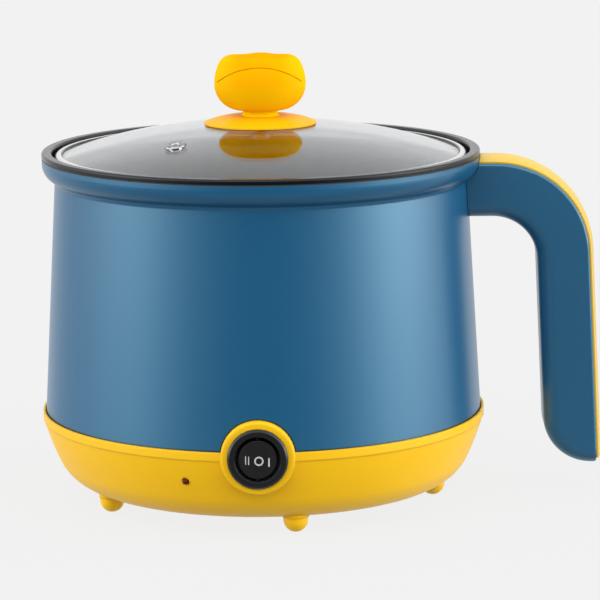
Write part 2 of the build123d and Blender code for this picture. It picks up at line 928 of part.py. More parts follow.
def make_handle_screws():
    wall = shell_lines(shell_wall)[0]
    screws = []
    for height in handle_screw_heights():
        inside = radius_at(wall, height + handle_screw_head_radius)
        seat = (sqrt(inside ** 2 - handle_screw_head_radius ** 2) - thread_gap, 0, height)
        tip = (handle_root + handle_bracket_thickness + handle_screw_tip, 0, height)
        screws.append(
            pan_screw(seat, tip, handle_screw_radius, handle_screw_head_radius, handle_screw_head_height)
        )
    return group(screws)


# Heater stack

def element_ends():
    """The two ends of the heating element, seen from above, left and right of the rear."""
    half_gap = element_gap_angle / 2
    return polar(element_circle_radius, 180 + half_gap), polar(element_circle_radius, 180 - half_gap)


def element_level():
    return heater_bottom + element_sink


def make_element():
    level = element_level()
    section = Plane.XZ * Pos(element_circle_radius, level) * Circle(element_radius)
    arc = revolve(section, Axis.Z, revolution_arc=360 - element_gap_angle)
    element = Rot(0, 0, 90 + element_gap_angle / 2) * arc
    for end in element_ends():
        top = end + Vector(0, 0, level)
        low = top - Vector(0, 0, element_drop)
        element += Pos(*top) * Sphere(element_radius)
        element += rod(top, low, element_radius)
        element += rod(low, low - Vector(0, 0, element_pin_length), element_pin_radius)
    return element


def pin_low():
    """Height of the lower end of the element's pins."""
    return element_level() - element_drop - element_pin_length


def make_heater_plate():
    plate = rod((0, 0, heater_bottom), (0, 0, heater_top), heater_radius)
    section = Plane.XZ * Pos(element_circle_radius, element_level()) * Circle(element_radius + thread_gap)
    plate -= revolve(section, Axis.Z)
    for x in (-bracket_screw_pitch / 2, bracket_screw_pitch / 2):
        plate -= screw_bore(x, 0)
    plate -= screw_bore(0, clip_screw_y())
    return plate


def screw_bore(x, y):
    """A threaded hole in the underside of the heater plate."""
    top = heater_bottom + small_screw_bite + thread_gap
    return rod((x, y, heater_bottom), (x, y, top), small_screw_radius + thread_gap)


def make_posts():
    posts = []
    for bearing in bearings(post_count, post_first_bearing):
        low = polar(post_circle_radius, bearing, post_bottom)
        high = polar(post_circle_radius, bearing, heater_bottom)
        bore_end = polar(post_circle_radius, bearing, post_bottom + base_screw_bite + thread_gap)
        posts.append(rod(low, high, post_radius) - rod(low, bore_end, base_screw_radius + thread_gap))
    return group(posts)


def make_shield():
    shield = ring(tower_top, post_bottom, shield_window_radius, shield_radius)
    shield += ring(post_bottom, post_bottom + shield_rim, shield_radius - shield_thickness, shield_radius)
    for bearing in bearings(post_count, post_first_bearing):
        low = polar(post_circle_radius, bearing, tower_top)
        high = polar(post_circle_radius, bearing, post_bottom)
        shield -= rod(low, high, base_screw_radius + push_gap)
    for end in element_ends():
        low = end + Vector(0, 0, tower_top)
        high = end + Vector(0, 0, post_bottom)
        shield -= rod(low, high, shield_pin_hole_radius)
    return shield


# Thermostat and fuse

def make_thermostat():
    cap_low = heater_bottom - thermostat_cap_height
    body_low = cap_low - thermostat_body_height
    thermostat = rod((0, 0, cap_low), (0, 0, heater_bottom), thermostat_cap_radius)
    thermostat += rod((0, 0, body_low), (0, 0, cap_low), thermostat_body_radius)
    half_x = thermostat_blade[0] / 2
    half_y = thermostat_blade[1] / 2
    for x in (-thermostat_blade_pitch / 2, thermostat_blade_pitch / 2):
        thermostat += block(
            (x - half_x, x + half_x), (-half_y, half_y), (body_low - thermostat_blade[2], body_low)
        )
    return thermostat


def thermostat_terminal(side):
    """The lower end of one of the thermostat's blades."""
    low = heater_bottom - thermostat_cap_height - thermostat_body_height - thermostat_blade[2]
    return Vector(side * thermostat_blade_pitch / 2, 0, low)


def make_thermostat_bracket():
    high = heater_bottom - thermostat_cap_height
    low = high - bracket_thickness
    outline = SlotOverall(2 * bracket_half_length, 2 * bracket_half_width)
    bracket = Pos(0, 0, low) * extrude(outline, bracket_thickness)
    bracket -= rod((0, 0, low), (0, 0, high), thermostat_body_radius + push_gap)
    for x in (-bracket_screw_pitch / 2, bracket_screw_pitch / 2):
        bracket -= rod((x, 0, low), (x, 0, high), small_screw_radius + push_gap)
    return bracket


def small_screw(seat, tip):
    """A screw into the underside of the heater plate."""
    return pan_screw(seat, tip, small_screw_radius, small_screw_head_radius, small_screw_head_height)


def make_thermostat_screws():
    seat = heater_bottom - thermostat_cap_height - bracket_thickness
    tip = heater_bottom + small_screw_bite
    screws = []
    for x in (-bracket_screw_pitch / 2, bracket_screw_pitch / 2):
        screws.append(small_screw((x, 0, seat), (x, 0, tip)))
    return group(screws)


def fuse_level():
    return heater_bottom - fuse_radius - thread_gap


def make_fuse():
    level = fuse_level()
    half = fuse_length / 2
    reach = half + fuse_lead_length
    body = rod((-half, -fuse_offset, level), (half, -fuse_offset, level), fuse_radius)
    return body + rod((-reach, -fuse_offset, level), (reach, -fuse_offset, level), fuse_lead_radius)


def fuse_terminal(side):
    """The end of one of the fuse's leads."""
    return Vector(side * (fuse_length / 2 + fuse_lead_length), -fuse_offset, fuse_level())


def clip_screw_y():
    return -fuse_offset - fuse_radius - clip_wall - thread_gap - clip_tab / 2


def fuse_hoop(radius):
    """A bar round the fuse with flat sides up to the heater plate."""
    level = fuse_level()
    half = clip_width / 2
    bar = rod((-half, -fuse_offset, level), (half, -fuse_offset, level), radius)
    sides = block((-half, half), (-fuse_offset - radius, -fuse_offset + radius), (level, heater_bottom))
    return (bar + sides) & block((-half, half), (-2 * fuse_offset, 0), (0, heater_bottom))


def make_fuse_clip():
    inner = fuse_radius + thread_gap
    outer = inner + clip_wall
    half = clip_width / 2
    edge = -fuse_offset - outer
    tab_low = heater_bottom - clip_wall
    tab = block((-half, half), (edge - clip_tab, edge + clip_wall), (tab_low, heater_bottom))
    clip = fuse_hoop(outer) - fuse_hoop(inner) + tab - fuse_hoop(inner)
    y = clip_screw_y()
    return clip - rod((0, y, 0), (0, y, heater_bottom), small_screw_radius + push_gap)


def make_fuse_clip_screw():
    y = clip_screw_y()
    seat = (0, y, heater_bottom - clip_wall)
    tip = (0, y, heater_bottom + small_screw_bite)
    return small_screw(seat, tip)


# Switch

def make_switch_housing():
    bezel = boss_reach + bezel_height
    lip = Polyline(
        (recess_radius, 0),
        (bezel_radius, 0),
        (bezel_radius, bezel_height - bezel_slope),
        (bezel_radius - bezel_slope, bezel_height),
        (recess_radius + bezel_slope / 2, bezel_height),
        (recess_radius, bezel_height - bezel_slope),
        close=True,
    )
    flange = revolve(Plane.XZ * make_face(lip.edges()), Axis.Z)
    panel = Plane(origin=(0, -boss_reach, switch_height), z_dir=(0, -1, 0))
    housing = panel * flange
    housing += front_rod(barrel_end, boss_reach, barrel_radius)
    housing -= front_rod(panel_back, bezel, recess_radius)
    housing -= front_rod(cavity_end, panel_back, cavity_radius)

    # Snap ears behind the panel
    ear_back = panel_back - 2 * clip_ear
    for side in (-1, 1):
        inner = side * recess_radius
        outer = side * (barrel_radius + clip_ear)
        x_limits = (min(inner, outer), max(inner, outer))
        z_limits = (switch_height - clip_ear_width / 2, switch_height + clip_ear_width / 2)
        housing += block(x_limits, (-panel_back + push_gap, -ear_back), z_limits)

    # Bores for the trunnions and slots for the blades
    housing -= pivot_bar(thread_gap)
    for x in blade_places():
        housing -= blade(x, barrel_end, cavity_end, thread_gap)
    return housing


def blade_places():
    return (-blade_pitch, 0, blade_pitch)


def blade(x, near, far, grow):
    """A switch blade between two distances from the pot's axis, grown all round."""
    half_x = blade_thickness / 2 + grow
    half_z = blade_height / 2 + grow
    return block((x - half_x, x + half_x), (-far, -near), (switch_height - half_z, switch_height + half_z))


def pivot_bar(grow):
    """The rocker's two trunnions as one upright bar, grown all round."""
    reach = recess_radius + trunnion_bite + grow
    low = (0, -pivot_reach, switch_height - reach)
    high = (0, -pivot_reach, switch_height + reach)
    return rod(low, high, trunnion_radius + grow)


def make_rocker():
    disc = front_rod(rocker_back, rocker_face, rocker_radius)
    sweep_axis = rocker_face - rocker_sweep_radius
    low = switch_height - 2 * rocker_radius
    high = switch_height + 2 * rocker_radius
    disc &= rod((0, -sweep_axis, low), (0, -sweep_axis, high), rocker_sweep_radius)
    stem = front_rod(rocker_back - stem_length, rocker_back, stem_radius)
    bore = front_rod(rocker_back - stem_length, rocker_back + plunger_sink, plunger_radius + thread_gap)
    return disc + pivot_bar(0) + stem - bore


def make_plunger():
    start = rocker_back + plunger_sink
    body = front_rod(plunger_tip + plunger_radius, start, plunger_radius)
    return body + Pos(0, -plunger_tip - plunger_radius, switch_height) * Sphere(plunger_radius)


def make_lever():
    half_z = lever_height / 2
    lever = block(
        (-lever_half_length, lever_half_length),
        (-lever_front, -lever_back),
        (switch_height - half_z, switch_height + half_z),
    )
    for x in (-blade_pitch, blade_pitch):
        lever += front_rod(lever_back - button_height, lever_back, button_radius, x)
    fulcrum_low = (0, -lever_back, switch_height - half_z)
    fulcrum_high = (0, -lever_back, switch_height + half_z)
    return lever + rod(fulcrum_low, fulcrum_high, fulcrum_radius)


def make_switch_blades():
    fulcrum = lever_back - fulcrum_radius - lever_pivot_gap
    contact = lever_back - button_height - contact_gap
    blades = []
    for x in blade_places():
        tip = fulcrum if x == 0 else contact
        blades.append(blade(x, blade_end, tip, 0))
    return group(blades)


def switch_terminal(x):
    """The rear end of a switch blade."""
    return Vector(x, -blade_end, switch_height)


def diode_place():
    y = -blade_end - blade_length / 2
    return y, switch_height - diode_drop


def make_diode():
    y, level = diode_place()
    half = diode_length / 2
    diode = rod((-half, y, level), (half, y, level), diode_radius)
    edge = switch_height - blade_height / 2
    for side in (-1, 1):
        x = side * blade_pitch
        path = FilletPolyline((side * half, y, level), (x, y, level), (x, y, edge), radius=diode_bend)
        section = Plane(origin=path @ 0, z_dir=path % 0) * Circle(diode_lead_radius)
        diode += sweep(section, path=path)
    return diode


# Indicator lamp

def lamp_points(wall):
    """Where the lamp's axis leaves the bowl, seats the lens and ends inside."""
    outside = radius_at(wall, lamp_height)
    seat = outside - base_wall
    inside = seat - lamp_boss_depth
    return [polar(radius, lamp_bearing, lamp_height) for radius in (outside + base_wall, seat, inside)]


def make_lens():
    wall = bowl_lines(0)[2]
    seat = lamp_points(wall)[1]
    outward = polar(1, lamp_bearing)
    face = polar(radius_at(wall, lamp_height), lamp_bearing, lamp_height)
    flange = rod(seat - outward * lens_flange_height, seat, lens_flange_radius)
    tip = Pos(*face) * Sphere(lens_radius)
    return flange + rod(seat, face, lens_radius) + tip


def make_lamp():
    wall = bowl_lines(0)[2]
    seat = lamp_points(wall)[1]
    outward = polar(1, lamp_bearing)
    front = seat - outward * lens_flange_height
    back = front - outward * lamp_length
    return rod(back, front, lamp_radius)


def lamp_back(side):
    """Where one lamp lead starts, at the back of the lamp."""
    wall = bowl_lines(0)[2]
    seat = lamp_points(wall)[1]
    back = seat - polar(1, lamp_bearing) * (lens_flange_height + lamp_length)
    return back + Vector(0, 0, side * lamp_radius / 2)


# Power inlet

def inlet_plug(grow, near, far):
    """The inlet's body, grown all round, with its two upper corners cut off."""
    half = inlet_width / 2 + grow
    tall = inlet_tall / 2 + grow
    outline = Polyline(
        (-half, -tall),
        (half, -tall),
        (half, tall - inlet_corner),
        (half - inlet_corner, tall),
        (inlet_corner - half, tall),
        (-half, tall - inlet_corner),
        close=True,
    )
    rear = Plane(origin=(0, near, inlet_height), x_dir=(-1, 0, 0), z_dir=(0, 1, 0))
    return extrude(rear * make_face(outline.edges()), far - near)


def make_inlet():
    back = inlet_reach - inlet_depth
    panel_inside = inlet_reach - inlet_panel
    inlet = inlet_plug(0, back, inlet_reach)
    half = inlet_width / 2 + inlet_ear
    ear_back = panel_inside - inlet_ear
    tall = inlet_tall / 2 - inlet_corner
    inlet += block((-half, half), (ear_back, panel_inside), (inlet_height - tall, inlet_height + tall))
    inlet -= inlet_plug(-inlet_wall, inlet_reach - inlet_recess, inlet_reach)
    for place in pin_places():
        inlet -= inlet_pin(place, thread_gap)
    return inlet


def pin_places():
    """Sideways place and height of the neutral, earth and live pins."""
    low = inlet_height - pin_drop
    return ((-pin_pitch / 2, low), (0, inlet_height + pin_drop), (pin_pitch / 2, low))


def inlet_pin(place, grow):
    x, z = place
    half_x = pin_width / 2 + grow
    half_z = pin_tall / 2 + grow
    front = inlet_reach - inlet_recess + pin_length
    back = inlet_reach - inlet_depth - pin_tail
    return block((x - half_x, x + half_x), (back, front), (z - half_z, z + half_z))


def make_inlet_pins():
    return group([inlet_pin(place, 0) for place in pin_places()])


def inlet_terminal(index):
    """The inner end of one of the inlet's pins."""
    x, z = pin_places()[index]
    return Vector(x, inlet_reach - inlet_depth - pin_tail, z)


# Wires, each from terminal to terminal

def make_wires():
    left, right = element_ends()
    left_pin = left + Vector(0, 0, pin_low())
    right_pin = right + Vector(0, 0, pin_low())
    pin_side = Vector(0, 0, pin_low() + element_pin_length / 4)
    towers = [polar(post_circle_radius, bearing) for bearing in bearings(post_count, post_first_bearing)]
    front_tower, rear_tower, side_tower = towers[:3]
    common = switch_terminal(0)
    high_heat = switch_terminal(blade_pitch)
    neutral, earth, live = [inlet_terminal(index) for index in range(3)]
    low_layer = base_inside + low_layer_rise
    middle_layer = base_inside + middle_layer_rise
    high_layer = tower_top - high_layer_drop
    lamp_layer = base_inside + lamp_layer_rise
    out = Vector(1, 0, 0)
    back = Vector(0, 1, 0)
    down = Vector(0, 0, -1)
    routes = {
        "wire_live": [
            live,
            live - back * inlet_run,
            rear_tower + Vector(*live_by_rear_tower, low_layer),
            front_tower + Vector(*live_by_front_tower, low_layer),
            common + back * switch_run + down * live_by_switch_drop,
            common + back * switch_run,
            common,
        ],
        "wire_high_heat": [
            high_heat,
            high_heat + back * switch_run,
            front_tower + Vector(*high_heat_by_front_tower, high_layer),
            rear_tower + Vector(*high_heat_by_rear_tower, high_layer),
            right_pin + Vector(*high_heat_by_pin) + down * pin_run,
            right_pin + down * pin_run,
            right_pin,
        ],
        "wire_neutral": [
            neutral,
            neutral - back * inlet_run,
            Vector(*neutral_by_pot_axis, middle_layer),
            thermostat_terminal(-1) + Vector(*neutral_by_thermostat) + down * thermostat_run,
            thermostat_terminal(-1) + down * thermostat_run,
            thermostat_terminal(-1),
        ],
        "wire_thermostat": [
            thermostat_terminal(1),
            thermostat_terminal(1) + down * thermostat_run,
            Vector(*thermostat_by_pot_axis, middle_layer),
            fuse_terminal(1) + out * fuse_run + down * fuse_drop,
            fuse_terminal(1) + out * fuse_run,
            fuse_terminal(1),
        ],
        "wire_fuse": [
            fuse_terminal(-1),
            fuse_terminal(-1) - out * fuse_run,
            fuse_terminal(-1) - out * fuse_run + down * fuse_drop,
            Vector(*fuse_by_pot_axis, high_layer),
            left_pin + Vector(*fuse_by_pin) + down * pin_run,
            left_pin + down * pin_run,
            left_pin,
        ],
        "wire_earth": [
            earth,
            earth - back * earth_run,
            Vector(*earth_by_pot_axis, high_layer),
            Vector(*earth_by_pot_axis, heater_bottom),
        ],
    }
    lamp_routes = []
    for side, end, vias in (
        (1, left, [side_tower + Vector(*offset, lamp_layer) for offset in lamp_by_side_tower]),
        (-1, right, [Vector(*offset, lamp_layer) for offset in lamp_by_pot_axis]),
    ):
        lamp = lamp_back(side)
        pin = end + pin_side
        lamp_routes.append([
            lamp,
            lamp - polar(lamp_run, lamp_bearing),
            *vias,
            pin - out * (lamp_pin_run + wire_bend) + down * lamp_pin_rise,
            pin - out * lamp_pin_run,
            pin - out * element_pin_radius,
        ])
    wires = {name: wire(route, wire_radius) for name, route in routes.items()}
    wires["lamp_leads"] = group([wire(route, lamp_wire_radius) for route in lamp_routes])
    return wires


def make_all():
    nodes = {
        "inner_pot": make_pot(),
        "rim_gasket": make_rim_gasket(),
        "outer_shell": make_shell(),
        "base_cover": make_base(),
        "base_screws": make_base_screws(),
        "lid_glass": make_glass(),
        "lid_ring": make_lid_ring(),
        "steam_vent": make_vent(),
        "knob": make_knob(),
        "knob_skirt": make_skirt(),
        "knob_gasket": make_knob_gasket(),
        "knob_washer": make_knob_washer(),
        "knob_screw": make_knob_screw(),
        "handle_body": make_handle(),
        "handle_cover": make_cover(),
        "handle_bracket": make_handle_bracket(),
        "handle_screws": make_handle_screws(),
        "heater_plate": make_heater_plate(),
        "heating_element": make_element(),
        "heater_posts": make_posts(),
        "heat_shield": make_shield(),
        "thermostat": make_thermostat(),
        "thermostat_bracket": make_thermostat_bracket(),
        "thermostat_screws": make_thermostat_screws(),
        "thermal_fuse": make_fuse(),
        "fuse_clip": make_fuse_clip(),
        "fuse_clip_screw": make_fuse_clip_screw(),
        "switch_housing": make_switch_housing(),
        "switch_rocker": make_rocker(),
        "switch_plunger": make_plunger(),
        "contact_lever": make_lever(),
        "switch_blades": make_switch_blades(),
        "low_heat_diode": make_diode(),
        "indicator_lens": make_lens(),
        "indicator_lamp": make_lamp(),
        "inlet_socket": make_inlet(),
        "inlet_pins": make_inlet_pins(),
    }
    for number, bearing in enumerate(bearings(foot_count, foot_first_bearing), start=1):
        nodes[f"foot_{number}"] = make_foot(bearing)
    nodes.update(make_wires())
    return nodes


os.makedirs("parts", exist_ok=True)
for name, shape in make_all().items():
    export_step(shape, f"parts/{name}.step")
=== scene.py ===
import json
from math import cos, pi, radians, sin

import bmesh
import bpy
from mathutils import Matrix


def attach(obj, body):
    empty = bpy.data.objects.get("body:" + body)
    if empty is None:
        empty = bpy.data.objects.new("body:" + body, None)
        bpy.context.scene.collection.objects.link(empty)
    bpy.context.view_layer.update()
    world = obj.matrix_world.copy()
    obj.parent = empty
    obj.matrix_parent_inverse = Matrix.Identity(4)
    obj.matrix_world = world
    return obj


# Electric cooking pot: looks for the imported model. Metres, +Z up, the switch faces -Y.

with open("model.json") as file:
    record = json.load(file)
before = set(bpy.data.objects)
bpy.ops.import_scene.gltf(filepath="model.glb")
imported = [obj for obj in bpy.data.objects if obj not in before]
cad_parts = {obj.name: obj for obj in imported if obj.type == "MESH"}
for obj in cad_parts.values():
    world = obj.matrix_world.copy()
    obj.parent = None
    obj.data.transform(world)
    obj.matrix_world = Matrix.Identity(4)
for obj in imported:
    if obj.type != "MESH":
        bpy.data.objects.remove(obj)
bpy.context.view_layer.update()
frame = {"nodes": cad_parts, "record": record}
nodes = frame["nodes"]
scene = bpy.context.scene
scene.view_settings.view_transform = "Standard"

# Camera, fitted to the rim and the seam in the photo
image_pixels = 600
focal_pixels = 3317.55
sensor_width = 36.0
far_clip = 200.0
camera_distance = 1.47257
camera_height = 0.35945
camera_turn = radians(1.6)
camera_pan = 0.0115
camera_tilt = 0.1825
camera_roll = -0.0093

# Floor, which only the camera sees
floor_radius = 40.0
floor_sides = 96
floor_glow = 0.836
floor_white = 0.03

# Noise: lumps per metre, and the part of its range that colours and gloss spread over
drift_lumps = 18.0
smear_lumps = 30.0
knob_lumps = 40.0
plastic_lumps = 1800.0
metal_lumps = 900.0
gloss_share = 0.25
noise_low = 0.3
noise_high = 0.7

# Skin of the surfaces: depth of its lumps, how strongly they show, and softened edges
skin_depth = 0.0002
fine_skin = 0.03
plastic_skin = 0.06
metal_skin = 0.05
plastic_edge = 0.0003
metal_edge = 0.0002
base_edge = 0.0012

# Colours and gloss that several materials share
yellow = ((0.86, 0.485, 0.0005), (0.88, 0.50, 0.001))
yellow_roughness = (0.42, 0.47)
yellow_specular = 0.3
blue_gloss = {"specular": 1.0, "tint": (0.42, 0.71, 0.84), "index": 1.6}

# Lid: radius of the painted shade line inside its ring
ring_shade_radius = 0.0893
ring_shade_colour = (0.02, 0.02, 0.02)

# Knob: painted light and shade over its height, and painted light at its sides
knob_light_and_shade_by_height = [
    (0.13, (0.86, 0.57, 0.002)),
    (0.58, (0.81, 0.365, 0.001)),
    (0.84, (0.81, 0.365, 0.001)),
    (1.0, (0.79, 0.30, 0.001)),
]
knob_drift = 0.06
knob_side_light = (0.82, 0.425, 0.004)
knob_side_light_fade = [(0.45, 1.0), (0.95, 0.0)]

# Seams of the shell, where it meets the base's band and the switch's boss, with painted shadow along them
seam_height = 0.0400
seam_shadow = 0.0005
seam_shadow_colour = (0.003, 0.012, 0.016)
band_foot = 0.0358
# painted shade on the base's band and boss
band_painted_shade = (0.77, 0.445, 0.001)
boss_radius = 0.0161
boss_shadow = 0.0004

# Rocker: front of its face, radius that the face is swept about, height of its middle
rocker_face = 0.1027
rocker_sweep_radius = 0.024
switch_height = 0.0379

# Marks on the rocker: places from its middle as seen from the front, and sizes
mark_thickness = 0.00006
high_bars = {"mark_high_left": (-0.0051, -0.00035), "mark_high_right": (-0.0038, -0.00045)}
high_bar_size = (0.00042, 0.0037)
off_ring_place = (0.00058, -0.00058)
off_ring_radius = 0.0020
off_ring_stroke = 0.00064
low_bar_place = (0.00485, -0.0012)
low_bar_size = (0.00068, 0.0039)
bar_core = 0.02
bar_end_steps = 6
ring_steps = 40


def add_camera():
    data = bpy.data.cameras.new("camera")
    data.sensor_width = sensor_width
    data.lens = focal_pixels / image_pixels * sensor_width
    data.clip_end = far_clip
    camera = bpy.data.objects.new("camera", data)
    scene.collection.objects.link(camera)
    camera.matrix_world = (
        Matrix.Rotation(camera_turn, 4, "Z")
        @ Matrix.Translation((0, -camera_distance, camera_height))
        @ Matrix.Rotation(-camera_pan, 4, "Z")
        @ Matrix.Rotation(pi / 2 - camera_tilt, 4, "X")
        @ Matrix.Rotation(camera_roll, 4, "Z")
    )
    scene.camera = camera


class Tree:
    """A node tree with short ways to add and join nodes."""

    def __init__(self, tree):
        self.tree = tree

    def add(self, kind, **settings):
        node = self.tree.nodes.new(kind)
        for name, value in settings.items():
            setattr(node, name, value)
        return node

    def join(self, source, target):
        self.tree.links.new(source, target)

    def math(self, operation, *values):
        node = self.add("ShaderNodeMath", operation=operation)
        for socket, value in zip(node.inputs, values):
            if isinstance(value, (int, float)):
                socket.default_value = value
            else:
                self.join(value, socket)
        return node.outputs[0]

    def length(self, first, second):
        """Length of the diagonal over two upright values."""
        squares = [self.math("MULTIPLY", value, value) for value in (first, second)]
        return self.math("SQRT", self.math("ADD", *squares))

    def place(self, kind):
        """The three coordinates of a kind, such as Object or Generated."""
        place = self.add("ShaderNodeTexCoord")
        parts = self.add("ShaderNodeSeparateXYZ")
        self.join(place.outputs[kind], parts.inputs[0])
        return parts.outputs

    def ramp(self, value, stops):
        """A ramp of greys or colours over a value from 0 to 1."""
        node = self.add("ShaderNodeValToRGB")
        elements = node.color_ramp.elements
        while len(elements) < len(stops):
            elements.new(0.5)
        for element, (place, colour) in zip(elements, stops):
            element.position = place
            grey = isinstance(colour, (int, float))
            element.color = (colour, colour, colour, 1) if grey else (*colour, 1)
        self.join(value, node.inputs["Fac"])
        return node.outputs["Color"]

    def levels(self, value, stops):
        """A ramp of strengths that may pass 1."""
        peak = max(level for _, level in stops)
        ramp = self.ramp(value, [(place, level / peak) for place, level in stops])
        return self.math("MULTIPLY", ramp, peak)

    def noise(self, scale, detail):
        """Noise over the object's own coordinates, with scale in lumps per metre."""
        place = self.add("ShaderNodeTexCoord")
        noise = self.add("ShaderNodeTexNoise")
        noise.inputs["Scale"].default_value = scale
        noise.inputs["Detail"].default_value = detail
        self.join(place.outputs["Object"], noise.inputs["Vector"])
        return noise.outputs["Fac"]

    def spread(self, value, low, high):
        """Noise spread between two values."""
        node = self.add("ShaderNodeMapRange")
        node.inputs["From Min"].default_value = noise_low
        node.inputs["From Max"].default_value = noise_high
        node.inputs["To Min"].default_value = low
        node.inputs["To Max"].default_value = high
        self.join(value, node.inputs["Value"])
        return node.outputs["Result"]


def add_world():
    """A soft box on each side, one above the front, a bright ceiling, a pale ground and back."""
    world = bpy.data.worlds.new("studio")
    scene.world = world
    world.use_nodes = True
    tree = Tree(world.node_tree)
    background = world.node_tree.nodes["Background"]

    # Bearing from the front (0) over the sides (0.5) to the back (1), and height from 0 to 1
    x, y, z = tree.place("Generated")
    bearing = tree.math("MULTIPLY_ADD", tree.math("DIVIDE", y, tree.length(x, y)), 0.5, 0.5)
    height = tree.math("MULTIPLY_ADD", z, 0.5, 0.5)

    left = tree.levels(bearing, [
        (0.0, 0.04), (0.05, 0.52), (0.12, 1.3), (0.20, 2.65), (0.26, 3.7), (0.32, 4.3), (0.39, 4.2),
        (0.55, 2.6), (0.64, 1.2), (0.74, 0.4), (0.85, 0.0),
    ])
    right = tree.levels(bearing, [
        (0.0, 0.04), (0.03, 0.2), (0.09, 0.7), (0.17, 1.85), (0.28, 4.5), (0.34, 5.8), (0.41, 6.4),
        (0.49, 5.8), (0.58, 4.3), (0.66, 1.9), (0.74, 0.4), (0.85, 0.0),
    ])
    on_right = tree.math("GREATER_THAN", x, 0.0)
    on_left = tree.math("SUBTRACT", 1.0, on_right)
    boxes = tree.math("MULTIPLY_ADD", left, on_left, tree.math("MULTIPLY", right, on_right))
    box_window = tree.levels(height, [
        (0.42, 0.0), (0.455, 0.40), (0.48, 0.95), (0.50, 1.25), (0.55, 1.25), (0.62, 0.75), (0.70, 0.35),
        (0.80, 0.12), (0.90, 0.0),
    ])
    around = tree.levels(bearing, [
        (0.0, 0.04), (0.3, 0.10), (0.7, 0.7), (0.85, 0.75), (0.94, 0.95), (1.0, 1.0),
    ])
    around_window = tree.levels(height, [(0.25, 0.0), (0.425, 1.0), (0.65, 1.0), (0.85, 0.0)])
    ground = tree.levels(bearing, [
        (0.0, 0.42), (0.1, 0.38), (0.25, 0.36), (0.4, 0.45), (0.55, 0.55), (0.8, 0.70), (1.0, 0.85),
    ])
    ground_window = tree.levels(height, [(0.25, 1.0), (0.425, 0.0)])
    key = tree.levels(bearing, [(0.0, 1.5), (0.3, 1.35), (0.5, 0.9), (0.7, 0.4), (0.85, 0.0)])
    key_window = tree.levels(height, [(0.60, 0.0), (0.69, 1.0), (0.90, 1.0), (1.0, 0.0)])
    strength = tree.levels(height, [(0.625, 0.0), (0.75, 0.55), (0.875, 1.05), (1.0, 1.05)])

    lights = ((boxes, box_window), (key, key_window), (around, around_window), (ground, ground_window))
    for light, window in lights:
        strength = tree.math("MULTIPLY_ADD", light, window, strength)
    background.inputs["Color"].default_value = (1.0, 1.0, 1.0, 1)
    tree.join(strength, background.inputs["Strength"])


def add_floor():
    mesh = bpy.data.meshes.new("floor")
    shape = bmesh.new()
    bmesh.ops.create_circle(shape, cap_ends=True, segments=floor_sides, radius=floor_radius)
    shape.to_mesh(mesh)
    shape.free()
    floor = bpy.data.objects.new("floor", mesh)
    scene.collection.objects.link(floor)
    floor.visible_diffuse = False
    floor.visible_glossy = False
    material, tree, shader = new_material("floor")
    shader.inputs["Base Color"].default_value = (floor_white, floor_white, floor_white, 1)
    shader.inputs["Specular IOR Level"].default_value = 0.0
    shader.inputs["Roughness"].default_value = 1.0
    shader.inputs["Emission Color"].default_value = (1, 1, 1, 1)
    shader.inputs["Emission Strength"].default_value = floor_glow
    mesh.materials.append(material)


def surface_of(material):
    """A material's node tree and its main shader."""
    return Tree(material.node_tree), material.node_tree.nodes["Principled BSDF"]


def new_material(name):
    material = bpy.data.materials.new(name)
    material.use_nodes = True
    return material, *surface_of(material)


def drift_colour(tree, shader, colours):
    """A colour that drifts a little between two shades."""
    drift = tree.noise(drift_lumps, 3.0)
    shades = tree.ramp(drift, [(noise_low, colours[0]), (noise_high, colours[1])])
    tree.join(shades, shader.inputs["Base Color"])


def finish_surface(tree, shader, roughness, bump, lumps, edge):
    """Uneven gloss, a fine moulded skin and softened edges."""
    gloss = tree.noise(lumps * gloss_share, 4.0)
    tree.join(tree.spread(gloss, *roughness), shader.inputs["Roughness"])
    skin = tree.noise(lumps, 2.0)
    rise = tree.add("ShaderNodeBump")
    rise.inputs["Strength"].default_value = bump
    rise.inputs["Distance"].default_value = skin_depth
    tree.join(skin, rise.inputs["Height"])
    if edge:
        soft = tree.add("ShaderNodeBevel", samples=4)
        soft.inputs["Radius"].default_value = edge
        tree.join(soft.outputs["Normal"], rise.inputs["Normal"])
    tree.join(rise.outputs["Normal"], shader.inputs["Normal"])


def plastic(
    name, colours, roughness, bump=plastic_skin, edge=plastic_edge, specular=0.5, tint=(1, 1, 1), index=1.5,
):
    material, tree, shader = new_material(name)
    drift_colour(tree, shader, colours)
    finish_surface(tree, shader, roughness, bump, plastic_lumps, edge)
    shader.inputs["IOR"].default_value = index
    shader.inputs["Specular IOR Level"].default_value = specular
    shader.inputs["Specular Tint"].default_value = (*tint, 1)
    return material


def metal(name, colours, roughness, bump=metal_skin):
    material, tree, shader = new_material(name)
    drift_colour(tree, shader, colours)
    finish_surface(tree, shader, roughness, bump, metal_lumps, metal_edge)
    shader.inputs["Metallic"].default_value = 1.0
    return material


def clear(name, tint, roughness, index):
    material, tree, shader = new_material(name)
    shader.inputs["Base Color"].default_value = (*tint, 1)
    shader.inputs["Transmission Weight"].default_value = 1.0
    shader.inputs["IOR"].default_value = index
    smear = tree.noise(smear_lumps, 3.0)
    tree.join(tree.spread(smear, *roughness), shader.inputs["Roughness"])
    return material


